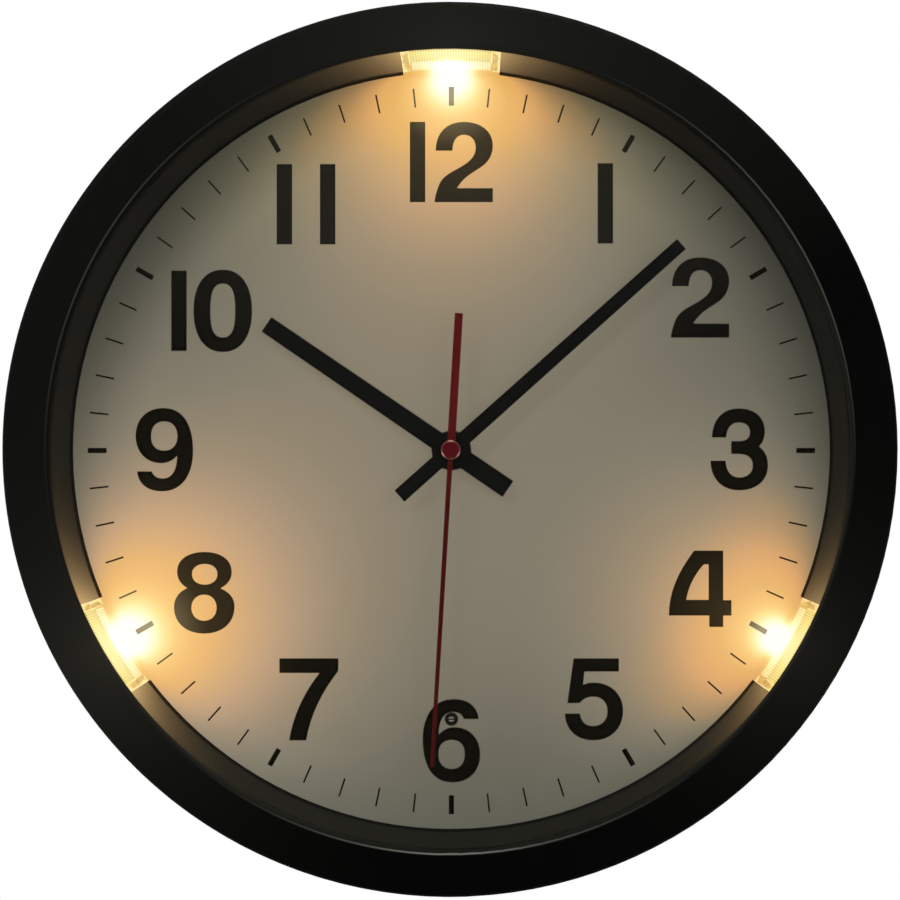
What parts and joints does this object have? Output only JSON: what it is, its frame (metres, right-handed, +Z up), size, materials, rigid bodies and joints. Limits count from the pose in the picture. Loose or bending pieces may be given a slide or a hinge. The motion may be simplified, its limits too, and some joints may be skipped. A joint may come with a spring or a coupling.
{
  "type": "illuminated wall clock",
  "caption": "Round wall clock with a deep black rim, plain numeral dial, hands on a quartz gear train and ribbed lamps set in the ring wall to light the dial.",
  "frame": {"origin": "centre of the keyhole's round entry, on the back face of the rear case", "axes": "+Z up to 12 o'clock, -Y out of the wall towards the viewer, +X to 3 o'clock"},
  "size_m": [0.305, 0.045, 0.305],
  "materials": {
    "frame_black": "satin",
    "front_glass": "polished",
    "ring_grey": "satin",
    "lens_clear": "ribbed",
    "board_white": "satin",
    "led_amber": "gloss",
    "dial_cream": "matt print",
    "ink_black": "matt print",
    "sensor": "gloss",
    "board_green": "satin",
    "chip_black": "satin",
    "rear_black": "fine texture",
    "steel": "plated",
    "switch_grey": "satin",
    "cell_can": "printed sleeve",
    "contact_plate": "plated",
    "wire_red": "satin",
    "wire_black": "satin",
    "movement_black": "satin",
    "nut_black": "turned, blackened",
    "gasket": "matt",
    "wheel_white": "moulded",
    "hand_black": "matt paint",
    "hand_red": "matt paint",
    "magnet": "ground",
    "copper": "enamelled wire"
  },
  "bodies": {
    "case": {"front_frame": "frame_black", "front_glass": "front_glass", "inner_ring": "ring_grey", "light_lens_12": "lens_clear", "light_lens_4": "lens_clear", "light_lens_8": "lens_clear", "led_board_12": "board_white", "led_board_4": "board_white", "led_board_8": "board_white", "led_12": "led_amber", "led_4": "led_amber", "led_8": "led_amber", "dial_plate": "dial_cream", "hour_numerals": "ink_black", "minute_track": "ink_black", "light_sensor": "sensor", "control_board": "board_green", "control_chip": "chip_black", "rear_case": "rear_black", "case_screws": "steel", "switch_body": "switch_grey", "light_cells": "cell_can", "light_contacts": "contact_plate", "led_wires": "wire_red", "battery_wires": "wire_black", "switch_wires": "wire_black", "movement_front": "movement_black", "movement_rear": "movement_black", "mounting_nut": "nut_black", "nut_washer": "nut_black", "dial_gasket": "gasket", "stator": "steel", "coil": "copper", "coil_core": "steel", "movement_board": "board_green", "movement_chip": "chip_black", "quartz_crystal": "steel", "contact_plus": "contact_plate", "contact_minus": "contact_plate", "movement_cell": "cell_can"},
    "second_hand": {"seconds_wheel": "wheel_white", "second_hand": "hand_red", "second_hand_cap": "hand_red"},
    "minute_hand": {"minute_arbor": "wheel_white", "minute_hand": "hand_black"},
    "hour_hand": {"hour_wheel": "wheel_white", "hour_hand": "hand_black"},
    "centre_wheel": {"centre_wheel": "wheel_white"},
    "third_wheel": {"third_wheel": "wheel_white"},
    "fifth_wheel": {"fifth_wheel": "wheel_white"},
    "rotor": {"rotor": "wheel_white", "rotor_magnet": "magnet"},
    "motion_wheel": {"motion_wheel": "wheel_white"},
    "set_knob": {"set_shaft": "wheel_white", "set_knob": "movement_black"},
    "battery_door": {"battery_door": "rear_black"},
    "switch_slider": {"switch_slider": "switch_grey"}
  },
  "joints": [
    {"name": "second_hand_turn", "type": "hinge", "parent": "case", "child": "second_hand", "pos_m": [0, -0.02975, -0.11], "axis": [0, 1, 0], "continuous": true},
    {"name": "third_wheel_turn", "type": "hinge", "parent": "case", "child": "third_wheel", "pos_m": [-0.00958, -0.011, -0.10651], "axis": [0, 1, 0], "continuous": true},
    {"name": "centre_wheel_turn", "type": "hinge", "parent": "case", "child": "centre_wheel", "pos_m": [0, -0.0126, -0.11], "axis": [0, 1, 0], "continuous": true},
    {"name": "fifth_wheel_turn", "type": "hinge", "parent": "case", "child": "fifth_wheel", "pos_m": [0.00431, -0.0079, -0.10076], "axis": [0, 1, 0], "continuous": true},
    {"name": "rotor_turn", "type": "hinge", "parent": "case", "child": "rotor", "pos_m": [0.00583, -0.0057, -0.09214], "axis": [0, 1, 0], "continuous": true},
    {"name": "minute_hand_turn", "type": "hinge", "parent": "case", "child": "minute_hand", "pos_m": [0, -0.0269, -0.11], "axis": [0, 1, 0], "continuous": true},
    {"name": "motion_wheel_turn", "type": "hinge", "parent": "case", "child": "motion_wheel", "pos_m": [0.0096, -0.0141, -0.11], "axis": [0, 1, 0], "continuous": true},
    {"name": "hour_hand_turn", "type": "hinge", "parent": "case", "child": "hour_hand", "pos_m": [0, -0.0241, -0.11], "axis": [0, 1, 0], "continuous": true},
    {"name": "set_knob_turn", "type": "hinge", "parent": "case", "child": "set_knob", "pos_m": [0.01862, -0.0001, -0.11328], "axis": [0, 1, 0], "continuous": true},
    {"name": "battery_door_hinge", "type": "hinge", "parent": "case", "child": "battery_door", "pos_m": [0.06435, -0.0014, -0.1358], "axis": [-1, 0, 0], "range_deg": [0, 90]},
    {"name": "switch_slide", "type": "slide", "parent": "case", "child": "switch_slider", "axis": [1, 0, 0], "range_m": [0, 0.004]}
  ],
  "couplings": [
    {"joint": "third_wheel_turn", "follows": "second_hand_turn", "ratio": -0.13333},
    {"joint": "centre_wheel_turn", "follows": "second_hand_turn", "ratio": 0.016667},
    {"joint": "fifth_wheel_turn", "follows": "second_hand_turn", "ratio": -5},
    {"joint": "rotor_turn", "follows": "second_hand_turn", "ratio": 30},
    {"joint": "motion_wheel_turn", "follows": "minute_hand_turn", "ratio": -0.33333},
    {"joint": "hour_hand_turn", "follows": "minute_hand_turn", "ratio": 0.083333},
    {"joint": "set_knob_turn", "follows": "minute_hand_turn", "ratio": 1}
  ]
}
